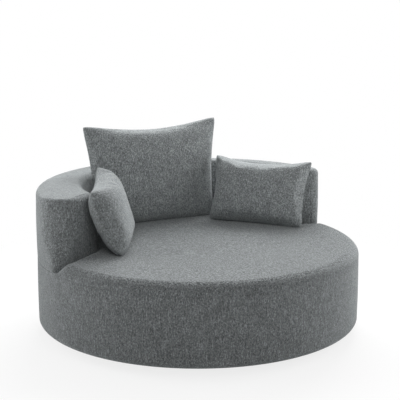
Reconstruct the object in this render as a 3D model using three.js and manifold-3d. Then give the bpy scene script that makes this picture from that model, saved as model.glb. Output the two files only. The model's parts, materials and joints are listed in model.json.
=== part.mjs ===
// A round cuddle chair: a drum seat with a thick wall curling round its back, on a hidden
// swivel base, with three loose pillows. Millimetres, +Z up, origin on the floor under the
// swivel axis. The opening of the wall faces -Y.
import * as THREE from 'three';
import { mergeVertices } from 'three/addons/utils/BufferGeometryUtils.js';
import Module from 'manifold-3d';

const wasm = await Module();
wasm.setup();

// Fits
const gap = 0.3; // between two pieces that touch
const overrun = 5; // how far a cutter runs past what it cuts
const slack = 1.6; // between a loose timber and the faceted boards beside it

// Round drum
const chairRadius = 690;
const undersideHeight = 35; // underside of the drum over the floor
const seatHeight = 386; // where the seat turns over into its shoulder
const seatCrown = 8;
const seamDrop = 46; // of the sewn line between the seat and the band, under seatHeight
const shoulderWidth = 74;
const shoulderDrop = 27;
const skirtWidth = 72; // rounding under the band
const skirtRise = 36;

// Upholstery
const coverThickness = 2.5;
const sideFoam = 10.9;
const sideBoard = 4;
const wallFoam = 17.2;
const wallTopFoam = 20;
const wallBoard = 4;

// Back wall, a crescent between the drum's circle and the circle of the seat well
const wallRise = 244; // over the seat
const wallEdgeRound = 22;
const leftArmDepth = 266; // from the drum's circle to the well's, at the seat
const rightArmDepth = 144;
const backDepth = 118;
const wellRake = 20; // how much wider the well is at the wall's top
const armEndAngle = THREE.MathUtils.degToRad(25.8); // slant of the arm ends
const rightArmEnd = -55; // Y of the end faces at the drum's radius
const leftArmEnd = 8;
const rightOuterRound = 46;
const leftOuterRound = 92;
const armInnerRound = 38;

// Timber frame
const boardThickness = 18;
const ringWidth = 110;
const deckDrop = 95; // of the deck under the seam
const railWidth = 60;
const railHeight = 25;
const postWidth = 44;
const postDepth = 60;
const postCount = 6;
const uprightShares = [0.1, 0.3, 0.5, 0.7, 0.9]; // along the wall from the right arm

// Seat springing
const deckLand = 55; // of the deck inside the well's circle
const deckHoleShift = 21; // of the hole's middle to the left of the well's
const deckHoleForward = 67; // and in front of it
const springSeat = 25; // what each spring end has on the deck
const springWire = 4;
const springPitch = 110;
const springSway = 24;
const springCount = 5;
const springSpanShare = 0.7; // how far out in the hole the outer springs lie
const padThickness = 6;
const padMargin = 30;

// Swivel base
const plinthRadius = 400;
const glideCount = 5;
const glideRadius = 16;
const glideHeight = 4.7;
const glideInset = 40;
const plateSize = 305;
const plateCorner = 18;
const plateHole = 80;
const lowerPlate = 3.4;
const upperPlate = 3;
const raceRadius = 120;
const ballRadius = 2.85;
const ballCount = 14;
const cageWidth = 14;
const cageThickness = 1.6;
const screwOffset = 128; // of the fixings from the middle of the plates
const screwRadius = 2.2;
const screwLength = 15;
const boltRadius = 4;
const headRadiusShare = 2.1;
const headHeight = 2.2;
const dustCover = 1;
const dustHoleRadius = 240;

// Pillows: nominal width and height, bulge before and behind the seam, and their places.
// heading is where the front faces. A chord as long as the pillow is wide lies across the
// well's circle, and the middle of the bottom seam is inset from it. around is its bearing.
// The insets are worked back from where the pillows stand, so they aren't round numbers.
const pillowCloth = 2;
const backPillow = {
  width: 676, height: 460, front: 92, back: 84, side: 24, top: 31, foot: 8, taper: 26,
  inset: 26.823231, around: THREE.MathUtils.degToRad(90.5),
  heading: THREE.MathUtils.degToRad(-98.5), lean: THREE.MathUtils.degToRad(6),
};
const rightPillow = {
  width: 457, height: 303, front: 80, back: 28, side: 16, top: 30, foot: 6, taper: 8,
  inset: 91.7998948, around: THREE.MathUtils.degToRad(3.5),
  heading: THREE.MathUtils.degToRad(209.7), lean: THREE.MathUtils.degToRad(19.5),
};
const leftPillow = {
  width: 457, height: 303, front: 80, back: 36, side: 16, top: 24, foot: 6, taper: 8,
  inset: 88.7998948, around: THREE.MathUtils.degToRad(169.3),
  heading: THREE.MathUtils.degToRad(-36.5), lean: THREE.MathUtils.degToRad(25),
};

// Fineness of the faces
const roundSteps = 48;
const wallArcSteps = 24;
const wellArcSteps = 20;
const cornerSteps = 4;
const edgeSteps = 3;
const shoulderSteps = 4;
const skirtSteps = 4;
const crownSteps = 2;
const smallSteps = 8;
const ballSteps = 6;
const springStepsPerWave = 5;
const panelColumns = 12;
const panelRows = 8;
const fillMargin = 1; // grid lines between a pillow's seams and its filling

// Levels and places worked out from the sizes above
const seamHeight = seatHeight - seamDrop;
const wallHeight = seatHeight + wallRise;
const wellRadiusSeat = chairRadius - (leftArmDepth + rightArmDepth) / 2;
const wellX = (leftArmDepth - rightArmDepth) / 2;
const wellY = chairRadius - backDepth - wellRadiusSeat;
const deckHoleX = wellX - deckHoleShift;
const deckHoleY = wellY - deckHoleForward;
const deckHoleRadius = wellRadiusSeat - deckLand;
const plinthBottom = glideHeight + gap;
const plinthTop = plinthBottom + boardThickness;
const lowerPlateBottom = plinthTop + gap;
const lowerPlateTop = lowerPlateBottom + lowerPlate;
const ballMiddle = lowerPlateTop + gap + ballRadius;
const upperPlateBottom = ballMiddle + ballRadius + gap;
const upperPlateTop = upperPlateBottom + upperPlate;
const railBottom = Math.max(upperPlateTop, undersideHeight + dustCover) + gap;
const railTop = railBottom + railHeight;
const bottomRingBottom = railTop + gap;
const bottomRingTop = bottomRingBottom + boardThickness;
const deckBottom = seamHeight - deckDrop;
const deckTop = deckBottom + boardThickness;
const springMiddle = deckTop + gap + springWire / 2;
const padBottom = springMiddle + springWire / 2 + gap;
const padTop = padBottom + padThickness;
const ribBottom = deckTop + gap;
const ribTop = ribBottom + boardThickness;
const wallFoamInset = coverThickness + gap;
const wallBoardInset = wallFoamInset + wallFoam + gap;
const wallFrameInset = wallBoardInset + wallBoard + gap;
const topRibTop = wallHeight - coverThickness - gap - wallTopFoam - gap;
const topRibBottom = topRibTop - boardThickness;
const wallSkirt = seamHeight + 2 * gap;
const frameRadius = chairRadius - coverThickness - gap - sideFoam - gap - sideBoard - gap;

const fabric = { color: 0x80827a, roughness: 0.95, metalness: 0 };
const finishes = {
  seat_fabric: fabric,
  pillow_fabric: { color: 0x6b6e67, roughness: 0.95, metalness: 0 },
  foam: { color: 0xe8dfc0, roughness: 1, metalness: 0 },
  wadding: { color: 0xf4f3ef, roughness: 1, metalness: 0 },
  timber: { color: 0xc9a877, roughness: 0.8, metalness: 0 },
  zinc: { color: 0xb4b7b9, roughness: 0.4, metalness: 1 },
  spring_steel: { color: 0x5b5d60, roughness: 0.45, metalness: 1 },
  felt: { color: 0x2b2b2b, roughness: 1, metalness: 0 },
};

const chair = new THREE.Group();

// Hangs a named mesh in a group.
function hang(parent, name, geometry, finish) {
  const mesh = new THREE.Mesh(geometry, new THREE.MeshStandardMaterial(finishes[finish]));
  mesh.name = name;
  parent.add(mesh);
  return mesh;
}

// A closed body from points and triangles, turned outwards if its volume comes out negative.
function closedBody(points, faces) {
  let volume = 0;
  for (const [a, b, c] of faces) {
    const [p, q, r] = [points[a], points[b], points[c]];
    volume += p[0] * (q[1] * r[2] - q[2] * r[1]);
    volume += p[1] * (q[2] * r[0] - q[0] * r[2]);
    volume += p[2] * (q[0] * r[1] - q[1] * r[0]);
  }
  const facing = volume < 0 ? faces.map(([a, b, c]) => [a, c, b]) : faces;
  const geometry = new THREE.BufferGeometry();
  geometry.setAttribute('position', new THREE.Float32BufferAttribute(points.flat(), 3));
  geometry.setIndex(facing.flat());
  return geometry;
}

// A solid through a row of closed rings that each have as many points, capped at both ends.
function stack(rings) {
  const n = rings[0].length;
  const faces = [];
  for (let level = 0; level + 1 < rings.length; level++) {
    for (let i = 0; i < n; i++) {
      const a = level * n + i;
      const b = level * n + ((i + 1) % n);
      faces.push([a, b, b + n], [a, b + n, a + n]);
    }
  }
  const cap = (ring) => THREE.ShapeUtils.triangulateShape(
    ring.map(([x, y]) => new THREE.Vector2(x, y)), []);
  for (const [a, b, c] of cap(rings[0])) faces.push([a, c, b]);
  const last = (rings.length - 1) * n;
  for (const [a, b, c] of cap(rings.at(-1))) faces.push([last + a, last + b, last + c]);
  return closedBody(rings.flat(), faces);
}

// A body turned round the Z axis from [radius, height] points, each in its place.
function turned(profile, steps = roundSteps) {
  const points = profile.map(([r, z]) => new THREE.Vector2(r, z));
  const geometry = new THREE.LatheGeometry([...points, points[0]], steps);
  geometry.rotateX(Math.PI / 2);
  const merged = weld(geometry);
  const position = merged.getAttribute('position');
  const rows = [];
  for (let i = 0; i < position.count; i++) {
    rows.push([position.getX(i), position.getY(i), position.getZ(i)]);
  }
  const index = merged.index.array;
  const faces = [];
  for (let i = 0; i < index.length; i += 3) {
    const face = [index[i], index[i + 1], index[i + 2]];
    if (new Set(face).size === 3) faces.push(face);
  }
  return closedBody(rows, faces);
}

function weld(geometry) {
  const bare = geometry.clone();
  bare.deleteAttribute('normal');
  bare.deleteAttribute('uv');
  return mergeVertices(bare, 1e-3);
}

function solid(geometry) {
  const merged = weld(geometry);
  return new wasm.Manifold(new wasm.Mesh({
    numProp: 3,
    vertProperties: merged.getAttribute('position').array,
    triVerts: new Uint32Array(merged.index.array),
  }));
}

function shapeOf(manifold) {
  const mesh = manifold.getMesh();
  const geometry = new THREE.BufferGeometry();
  geometry.setAttribute('position', new THREE.BufferAttribute(mesh.vertProperties, 3));
  geometry.setIndex(new THREE.BufferAttribute(mesh.triVerts, 1));
  return geometry;
}

function cut(geometry, cutters) {
  return shapeOf(cutters.reduce((body, cutter) => body.subtract(solid(cutter)), solid(geometry)));
}

// An upright round bar between two heights.
function bar(radius, bottom, top, x = 0, y = 0, steps = smallSteps) {
  return turned([[0, bottom], [radius, bottom], [radius, top], [0, top]], steps)
    .translate(x, y, 0);
}

// A flat board from a plan shape.
function board(shape, bottom, thickness) {
  return new THREE.ExtrudeGeometry(shape, { depth: thickness, bevelEnabled: false, steps: 1 })
    .translate(0, 0, bottom);
}

function circlePath(PathClass, x, y, radius, steps = roundSteps) {
  const points = [];
  for (let i = 0; i < steps; i++) {
    const angle = (i / steps) * 2 * Math.PI;
    points.push(new THREE.Vector2(x + radius * Math.cos(angle), y + radius * Math.sin(angle)));
  }
  return new PathClass(points);
}

// Back wall in plan

function wellRadius(z) {
  return wellRadiusSeat + (wellRake * (z - seatHeight)) / wallRise;
}

// Where a line from q along d first comes within a radius of a centre.
function firstMeeting(q, d, centre, radius) {
  const from = q.clone().sub(centre);
  const along = from.dot(d);
  const t = -along - Math.sqrt(along * along - from.lengthSq() + radius * radius);
  return q.clone().addScaledVector(d, t);
}

// The centres of the two rounded corners at one arm end; they hold for every inset.
function armCorners(side, endY, outerRound, z) {
  const inward = new THREE.Vector2(-side * Math.cos(armEndAngle), Math.sin(armEndAngle));
  const front = new THREE.Vector2(-side * Math.sin(armEndAngle), -Math.cos(armEndAngle));
  const tip = new THREE.Vector2(side * chairRadius, endY);
  const middle = new THREE.Vector2(0, 0);
  const well = new THREE.Vector2(wellX, wellY);
  const outer = firstMeeting(tip.clone().addScaledVector(front, -outerRound), inward,
    middle, chairRadius - outerRound);
  const inner = firstMeeting(tip.clone().addScaledVector(front, -armInnerRound), inward,
    well, wellRadius(z) + armInnerRound);
  return { front: front.angle(), outer, inner, outerRound };
}

// Points on an arc, without its last one unless asked.
function arc(centre, radius, from, to, steps, withLast = false) {
  const points = [];
  for (let i = 0; i < steps + (withLast ? 1 : 0); i++) {
    const angle = from + ((to - from) * i) / steps;
    points.push([centre.x + radius * Math.cos(angle), centre.y + radius * Math.sin(angle)]);
  }
  return points;
}

// From the left arm's inner corner round to the right one's, at headings that hold for
// every height, so that the raked face is made of flat facets.
const wellSpan = [-1, 1].map((side) => {
  const [endY, round] = side > 0 ? [rightArmEnd, rightOuterRound] : [leftArmEnd, leftOuterRound];
  const headings = [seatHeight, wallHeight].map((z) => {
    const { inner } = armCorners(side, endY, round, z);
    return Math.atan2(inner.y - wellY, inner.x - wellX);
  });
  const inside = side > 0 ? Math.max(...headings) : Math.min(...headings);
  return inside + side * (Math.PI / wellArcSteps / 2);
});

function ahead(from, to) {
  const turn = 2 * Math.PI;
  return from + ((((to - from) % turn) + turn) % turn);
}

// The crescent at one height, drawn in by an inset: round the back from the right arm,
// round the left arm end, back along the well and round the right arm end.
function wallArcs(z, inset) {
  const middle = new THREE.Vector2(0, 0);
  const well = new THREE.Vector2(wellX, wellY);
  const right = armCorners(1, rightArmEnd, rightOuterRound, z);
  const left = armCorners(-1, leftArmEnd, leftOuterRound, z);
  const outerFrom = right.outer.angle();
  const outerTo = left.outer.angle();
  const rightStart = outerFrom > Math.PI ? outerFrom - 2 * Math.PI : outerFrom;
  const leftWell = left.inner.clone().sub(well).angle();
  const rightWell = right.inner.clone().sub(well).angle();
  const corner = (arm, which, from, to, withLast) => {
    const round = which === 'outer' ? arm.outerRound : armInnerRound;
    return arc(arm[which], round - inset, from, ahead(from, to), cornerSteps, withLast);
  };
  return {
    back: arc(middle, chairRadius - inset, rightStart, outerTo, wallArcSteps),
    leftEnd: [
      ...corner(left, 'outer', outerTo, left.front, true),
      ...corner(left, 'inner', left.front, leftWell + Math.PI, true),
    ],
    well: arc(well, wellRadius(z) + inset, ...wellSpan, wellArcSteps, true),
    rightEnd: [
      ...corner(right, 'inner', rightWell + Math.PI, right.front, true),
      ...corner(right, 'outer', right.front, rightStart, false),
    ],
  };
}

function wallRing(z, inset) {
  const { back, leftEnd, well, rightEnd } = wallArcs(z, inset);
  return [...back, ...leftEnd, ...well, ...rightEnd].map(([x, y]) => [x, y, z]);
}

// What the wall takes out of the seat: the crescent with its clearance, and past the drum.
function wallFootprint(z) {
  const { leftEnd, well, rightEnd } = wallArcs(z, -gap);
  const { back } = wallArcs(z, -overrun);
  return [...back, ...leftEnd, ...well, ...rightEnd].map(([x, y]) => [x, y, z]);
}

// Rings up one skin of the wall whose top edge is rounded over.
function skinRings(bottom, top, inset, round) {
  const rings = [wallRing(bottom, inset)];
  for (let i = 0; i <= edgeSteps; i++) {
    const angle = (i / edgeSteps) * (Math.PI / 2);
    const z = top - round + round * Math.sin(angle);
    rings.push(wallRing(z, inset + round * (1 - Math.cos(angle))));
  }
  return rings;
}

// A cap of cloth or foam over the wall, open below.
function wallShell(bottom, top, inset, thickness, topThickness, innerRound) {
  const round = Math.max(wallEdgeRound - inset, gap);
  const outside = skinRings(bottom, top, inset, round);
  const inside = skinRings(bottom, top - topThickness, inset + thickness, innerRound);
  return stack([...inside.reverse(), ...outside]);
}

// A board bent along one long side of the crescent.
function bentBoard(side, bottom, top, inset, thickness) {
  const ring = (z) => {
    const near = wallArcs(z, inset)[side];
    const far = wallArcs(z, inset + thickness)[side];
    return [...near, ...far.reverse()].map(([x, y]) => [x, y, z]);
  };
  return stack([ring(bottom), ring(top)]);
}

// A plank across the wall at a share of its length, between the two boards.
function wallUpright(share) {
  const ring = (z) => {
    const arcs = wallArcs(z, wallFrameInset + slack);
    const right = new THREE.Vector2(...arcs.back[0]).angle();
    const left = new THREE.Vector2(...arcs.back.at(-1)).angle();
    const start = right > Math.PI ? right - 2 * Math.PI : right;
    const heading = start + (left - start) * share;
    const ray = new THREE.Vector2(Math.cos(heading), Math.sin(heading));
    const across = new THREE.Vector2(-ray.y, ray.x);
    const well = new THREE.Vector2(wellX, wellY);
    const wellFace = wellRadius(z) + wallFrameInset + slack;
    const corner = (offset, outer) => {
      const from = across.clone().multiplyScalar(offset);
      const reach = outer ? Math.sqrt((frameRadius - wallFrameInset) ** 2 - offset * offset)
        : farMeeting(from, ray, well, wellFace);
      return from.addScaledVector(ray, reach);
    };
    const half = boardThickness / 2;
    return [corner(-half, false), corner(-half, true), corner(half, true), corner(half, false)]
      .map(({ x, y }) => [x, y, z]);
  };
  return stack([ring(ribTop + gap), ring(topRibBottom - gap)]);
}

// How far along a ray from q it leaves a circle.
function farMeeting(q, ray, centre, radius) {
  const from = q.clone().sub(centre);
  const along = from.dot(ray);
  return -along + Math.sqrt(along * along - from.lengthSq() + radius * radius);
}

// Swivel base

function buildBase() {
  const base = new THREE.Group();
  const corners = [[1, 1], [-1, 1], [-1, -1], [1, -1]];
  const holes = corners.map(([x, y]) => bar(screwRadius + gap, plinthTop - screwLength - gap,
    plinthTop + overrun, x * screwOffset, y * screwOffset));
  const disc = bar(plinthRadius, plinthBottom, plinthTop, 0, 0, roundSteps);
  hang(base, 'base_plinth', cut(disc, holes), 'timber');

  for (let i = 0; i < glideCount; i++) {
    const angle = (i / glideCount) * 2 * Math.PI;
    const reach = plinthRadius - glideInset;
    const glide = bar(glideRadius, 0, glideHeight, reach * Math.cos(angle),
      reach * Math.sin(angle));
    hang(base, `glide_${i + 1}`, glide, 'felt');
  }

  hang(base, 'turntable_lower_plate',
    swivelPlate(lowerPlateBottom, lowerPlate, screwRadius + gap), 'zinc');
  hang(base, 'turntable_ball_ring', ballRing(), 'zinc');
  corners.forEach(([x, y], i) => {
    const head = screwRadius * headRadiusShare;
    const headBottom = lowerPlateTop + gap;
    const screw = turned([
      [0, plinthTop - screwLength], [screwRadius, plinthTop - screwLength],
      [screwRadius, headBottom], [head, headBottom],
      [head, headBottom + headHeight], [0, headBottom + headHeight],
    ], smallSteps);
    hang(base, `plinth_screw_${i + 1}`, screw, 'zinc')
      .position.set(x * screwOffset, y * screwOffset, 0);
  });
  return base;
}

// One square plate of the turntable, with a hole in the middle and one in each corner.
function swivelPlate(bottom, thickness, holeRadius) {
  const half = plateSize / 2;
  const flat = half - plateCorner;
  const plan = new THREE.Shape();
  plan.moveTo(half, -flat);
  plan.lineTo(half, flat);
  plan.absarc(flat, flat, plateCorner, 0, Math.PI / 2);
  plan.lineTo(-flat, half);
  plan.absarc(-flat, flat, plateCorner, Math.PI / 2, Math.PI);
  plan.lineTo(-half, -flat);
  plan.absarc(-flat, -flat, plateCorner, Math.PI, 1.5 * Math.PI);
  plan.lineTo(flat, -half);
  plan.absarc(flat, -flat, plateCorner, 1.5 * Math.PI, 2 * Math.PI);
  plan.holes.push(circlePath(THREE.Path, 0, 0, plateHole, 2 * smallSteps));
  for (const x of [-screwOffset, screwOffset]) {
    for (const y of [-screwOffset, screwOffset]) {
      plan.holes.push(circlePath(THREE.Path, x, y, holeRadius, smallSteps));
    }
  }
  return new THREE.ExtrudeGeometry(plan, {
    depth: thickness, bevelEnabled: false, steps: 1, curveSegments: 3,
  }).translate(0, 0, bottom);
}

// Balls held in a thin cage.
function ballRing() {
  const half = cageThickness / 2;
  const inner = raceRadius - cageWidth / 2;
  const outer = raceRadius + cageWidth / 2;
  let ring = solid(turned([
    [inner, ballMiddle - half], [outer, ballMiddle - half],
    [outer, ballMiddle + half], [inner, ballMiddle + half],
  ], 2 * ballCount));
  for (let i = 0; i < ballCount; i++) {
    const angle = (i / ballCount) * 2 * Math.PI;
    const ball = new THREE.SphereGeometry(ballRadius, ballSteps, ballSteps / 2);
    ball.rotateX(Math.PI / 2);
    ball.translate(raceRadius * Math.cos(angle), raceRadius * Math.sin(angle), ballMiddle);
    ring = ring.add(solid(ball));
  }
  return shapeOf(ring);
}

// Frame of the drum

function buildFrame() {
  const frame = new THREE.Group();
  const corners = [[1, 1], [-1, 1], [-1, -1], [1, -1]];
  hang(frame, 'turntable_upper_plate',
    swivelPlate(upperPlateBottom, upperPlate, boltRadius + gap), 'zinc');
  hang(frame, 'cross_rails', crossRails(corners), 'timber');
  corners.forEach(([x, y], i) => {
    const head = boltRadius * headRadiusShare;
    const bolt = turned([
      [0, upperPlateBottom], [boltRadius, upperPlateBottom], [boltRadius, railTop + gap],
      [head, railTop + gap], [head, railTop + gap + headHeight], [0, railTop + gap + headHeight],
    ], smallSteps);
    hang(frame, `plate_bolt_${i + 1}`, bolt, 'zinc')
      .position.set(x * screwOffset, y * screwOffset, 0);
  });

  const ringInner = frameRadius - ringWidth;
  hang(frame, 'bottom_ring', turned([
    [ringInner, bottomRingBottom], [frameRadius, bottomRingBottom],
    [frameRadius, bottomRingTop], [ringInner, bottomRingTop],
  ]), 'timber');
  for (let i = 0; i < postCount; i++) {
    const post = new THREE.BoxGeometry(postDepth, postWidth,
      deckBottom - bottomRingTop - 2 * gap);
    const placed = hang(frame, `seat_post_${i + 1}`, post, 'timber');
    const angle = ((i + 0.5) / postCount) * 2 * Math.PI;
    const reach = frameRadius - ringWidth / 2;
    placed.position.set(reach * Math.cos(angle), reach * Math.sin(angle),
      (bottomRingTop + deckBottom) / 2);
    placed.rotation.z = angle;
  }
  const deck = circlePath(THREE.Shape, 0, 0, frameRadius);
  deck.holes.push(circlePath(THREE.Path, deckHoleX, deckHoleY, deckHoleRadius));
  hang(frame, 'seat_deck', board(deck, deckBottom, boardThickness), 'timber');
  return frame;
}

// Two pairs of rails crossing over the turntable, halved into each other.
function crossRails(corners) {
  const reach = Math.min(chairRadius - skirtWidth, frameRadius) - gap - slack;
  const middle = (railBottom + railTop) / 2;
  let rails = null;
  for (const side of [-1, 1]) {
    const place = side * screwOffset;
    const half = Math.sqrt(reach * reach - (screwOffset + railWidth / 2) ** 2);
    const along = new THREE.BoxGeometry(2 * half, railWidth, railHeight)
      .translate(0, place, middle);
    const across = new THREE.BoxGeometry(railWidth, 2 * half, railHeight)
      .translate(place, 0, middle);
    for (const rail of [along, across]) {
      rails = rails ? rails.add(solid(rail)) : solid(rail);
    }
  }
  for (const [x, y] of corners) {
    const hole = bar(boltRadius + gap, railBottom - overrun, railTop + overrun,
      x * screwOffset, y * screwOffset);
    rails = rails.subtract(solid(hole));
  }
  return shapeOf(rails);
}

// Seat: springs, pad, foam and cover

// A flat zig-zag spring whose ends lie on the deck.
class ZigZag extends THREE.Curve {
  constructor(x, from, to) {
    super();
    this.x = x;
    this.from = from;
    this.to = to;
    this.waves = Math.max(1, Math.round((to - from) / springPitch));
  }
  getPoint(t, target = new THREE.Vector3()) {
    const sway = springSway * Math.sin(2 * Math.PI * this.waves * t);
    return target.set(this.x + sway, this.from + (this.to - this.from) * t, springMiddle);
  }
}

function seatSpring(x) {
  const half = Math.sqrt(deckHoleRadius ** 2 - (x - deckHoleX) ** 2) + springSeat;
  const path = new ZigZag(x, deckHoleY - half, deckHoleY + half);
  const wire = new THREE.Shape();
  wire.moveTo(springWire / 2, 0);
  wire.lineTo(0, springWire / 2);
  wire.lineTo(-springWire / 2, 0);
  wire.lineTo(0, -springWire / 2);
  return new THREE.ExtrudeGeometry(wire, {
    steps: path.waves * springStepsPerWave, extrudePath: path, bevelEnabled: false,
  });
}

// The seat's top from the middle out over its shoulder, drawn in by an inset.
function seatProfile(inset) {
  const points = [];
  const rim = chairRadius - shoulderWidth;
  for (let i = 0; i < crownSteps; i++) {
    const share = i / crownSteps;
    points.push([rim * share, seatHeight - inset + seatCrown * (1 - share * share)]);
  }
  for (let i = 0; i <= shoulderSteps; i++) {
    const angle = (i / shoulderSteps) * (Math.PI / 2);
    points.push([
      rim + (shoulderWidth - inset) * Math.sin(angle),
      seatHeight - shoulderDrop + (shoulderDrop - inset) * Math.cos(angle),
    ]);
  }
  return points;
}

function buildSeat() {
  const seat = new THREE.Group();
  for (let i = 0; i < springCount; i++) {
    const offset = ((2 * i) / (springCount - 1) - 1) * springSpanShare * deckHoleRadius;
    hang(seat, `seat_spring_${i + 1}`, seatSpring(deckHoleX + offset), 'spring_steel');
  }
  const pad = circlePath(THREE.Shape, deckHoleX, deckHoleY, deckHoleRadius + padMargin);
  hang(seat, 'spring_pad', board(pad, padBottom, padThickness), 'felt');

  const footprint = stack([
    wallFootprint(padBottom - overrun), wallFootprint(seatHeight + seatCrown + overrun),
  ]);
  const foamInset = coverThickness + gap;
  const shelf = seamHeight + gap;
  const foam = turned([
    ...seatProfile(foamInset),
    [chairRadius - foamInset, shelf], [frameRadius, shelf],
    [frameRadius, padTop + gap], [0, padTop + gap],
  ]);
  hang(seat, 'seat_foam', cut(foam, [footprint]), 'foam');
  const cover = turned([
    ...seatProfile(0), [chairRadius, shelf], [chairRadius - coverThickness, shelf],
    ...seatProfile(coverThickness).reverse(),
  ]);
  hang(seat, 'seat_cover', cut(cover, [footprint]), 'seat_fabric');
  return seat;
}

// Band round the drum: board, foam, cover and the cloth underneath

// Down the band's outside and round under it, drawn in by an inset.
function bandProfile(inset) {
  const points = [[chairRadius - inset, seamHeight]];
  for (let i = 0; i <= skirtSteps; i++) {
    const angle = (i / skirtSteps) * (Math.PI / 2);
    points.push([
      chairRadius - skirtWidth + (skirtWidth - inset) * Math.cos(angle),
      undersideHeight + skirtRise - (skirtRise - inset) * Math.sin(angle),
    ]);
  }
  return points;
}

function buildBand() {
  const band = new THREE.Group();
  const boardInner = frameRadius + gap;
  const boardOuter = boardInner + sideBoard;
  hang(band, 'side_board', turned([
    [boardInner, bottomRingBottom], [boardOuter, bottomRingBottom],
    [boardOuter, seamHeight], [boardInner, seamHeight],
  ]), 'timber');
  const foamRoof = bottomRingBottom - gap;
  hang(band, 'side_foam', turned([
    ...bandProfile(coverThickness + gap),
    [chairRadius - skirtWidth, foamRoof], [boardOuter + gap, foamRoof],
    [boardOuter + gap, seamHeight],
  ]), 'foam');
  hang(band, 'band_cover', turned([
    ...bandProfile(0), ...bandProfile(coverThickness).reverse(),
  ]), 'seat_fabric');
  const hem = chairRadius - skirtWidth - gap;
  hang(band, 'dust_cover', turned([
    [dustHoleRadius, undersideHeight], [hem, undersideHeight],
    [hem, undersideHeight + dustCover], [dustHoleRadius, undersideHeight + dustCover],
  ]), 'felt');
  return band;
}

// Back wall

function buildWall() {
  const wall = new THREE.Group();
  hang(wall, 'back_bottom_rib',
    stack([wallRing(ribBottom, wallFrameInset), wallRing(ribTop, wallFrameInset)]), 'timber');
  uprightShares.forEach((share, i) => {
    hang(wall, `back_upright_${i + 1}`, wallUpright(share), 'timber');
  });
  hang(wall, 'back_top_rib',
    stack([wallRing(topRibBottom, wallFrameInset), wallRing(topRibTop, wallFrameInset)]),
    'timber');
  hang(wall, 'back_outer_board',
    bentBoard('back', ribBottom, topRibTop, wallBoardInset, wallBoard), 'timber');
  hang(wall, 'back_inner_board',
    bentBoard('well', ribBottom, topRibTop, wallBoardInset, wallBoard), 'timber');
  hang(wall, 'back_foam', wallShell(wallSkirt, wallHeight - wallFoamInset, wallFoamInset,
    wallFoam, wallTopFoam, gap), 'foam');
  hang(wall, 'back_cover',
    wallShell(wallSkirt, wallHeight, 0, coverThickness, coverThickness,
      wallEdgeRound - coverThickness), 'seat_fabric');
  return wall;
}

// Pillows

// A sheet between two faces over a grid. u and v run from -1 to 1 and crowd at the edges.
// A margin leaves out that many of the outermost grid lines.
function quilted(margin, pillow, upper, lower) {
  const columns = panelColumns - 2 * margin;
  const rows = panelRows - 2 * margin;
  const points = [];
  const at = (face, i, j) => (face * (rows + 1) + j) * (columns + 1) + i;
  for (const height of [upper, lower]) {
    for (let j = 0; j <= rows; j++) {
      const v = Math.sin(((2 * (j + margin)) / panelRows - 1) * (Math.PI / 2));
      for (let i = 0; i <= columns; i++) {
        const u = Math.sin(((2 * (i + margin)) / panelColumns - 1) * (Math.PI / 2));
        points.push([...outlinePoint(pillow, u, v), height(u, v)]);
      }
    }
  }
  const faces = [];
  for (let j = 0; j < rows; j++) {
    for (let i = 0; i < columns; i++) {
      const top = [at(0, i, j), at(0, i + 1, j), at(0, i + 1, j + 1), at(0, i, j + 1)];
      const low = [at(1, i, j), at(1, i + 1, j), at(1, i + 1, j + 1), at(1, i, j + 1)];
      faces.push([top[0], top[1], top[2]], [top[0], top[2], top[3]]);
      faces.push([low[0], low[2], low[1]], [low[0], low[3], low[2]]);
    }
  }
  const border = [];
  for (let i = 0; i < columns; i++) border.push([i, 0]);
  for (let j = 0; j < rows; j++) border.push([columns, j]);
  for (let i = columns; i > 0; i--) border.push([i, rows]);
  for (let j = rows; j > 0; j--) border.push([0, j]);
  border.forEach(([i, j], k) => {
    const [m, n] = border[(k + 1) % border.length];
    faces.push([at(0, i, j), at(1, i, j), at(1, m, n)], [at(0, i, j), at(1, m, n), at(0, m, n)]);
  });
  return closedBody(points, faces);
}

// A pillow's outline: corners out, sides drawn in between them, narrower at the foot.
function outlinePoint(pillow, u, v) {
  const half = pillow.width / 2 - (pillow.taper * (1 - v)) / 2;
  const draw = v > 0 ? pillow.top : pillow.foot;
  return [
    half * u - pillow.side * u ** 3 * (1 - v * v),
    (pillow.height / 2) * v - draw * v ** 3 * (1 - u * u),
  ];
}

function crown(bulge, u, v) {
  return bulge * Math.sqrt((1 - u * u) * (1 - v * v));
}

// The cloth lies in the pillow's own plane, x along its width, y up it and z to its front.
function buildPillow(name, pillow) {
  const group = new THREE.Group();
  const half = gap / 2;
  const face = (bulge, sign, extra) => (u, v) => sign * (crown(bulge, u, v) + half + extra);
  hang(group, `${name}_front_panel`, quilted(0, pillow,
    face(pillow.front, 1, pillowCloth), face(pillow.front, 1, 0)), 'pillow_fabric');
  hang(group, `${name}_back_panel`, quilted(0, pillow,
    face(pillow.back, -1, pillowCloth), face(pillow.back, -1, 0)), 'pillow_fabric');
  hang(group, `${name}_insert`, quilted(fillMargin, pillow,
    face(pillow.front, 1, -gap), face(pillow.back, -1, -gap)), 'wadding');

  const facing = new THREE.Vector3(Math.cos(pillow.heading), Math.sin(pillow.heading), 0);
  const width = new THREE.Vector3(0, 0, 1).cross(facing);
  const up = new THREE.Vector3(0, 0, Math.cos(pillow.lean))
    .addScaledVector(facing, -Math.sin(pillow.lean));
  const front = width.clone().cross(up);
  group.quaternion.setFromRotationMatrix(new THREE.Matrix4().makeBasis(width, up, front));
  const chord = Math.sqrt(wellRadiusSeat ** 2 - (pillow.width / 2) ** 2);
  const reach = chord - pillow.inset;
  const foot = new THREE.Vector3(wellX + reach * Math.cos(pillow.around),
    wellY + reach * Math.sin(pillow.around), seatHeight);
  group.position.copy(foot.addScaledVector(up, pillow.height / 2));
  group.position.z -= clearanceOverSeat(group) - 2 * gap;
  return group;
}

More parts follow.
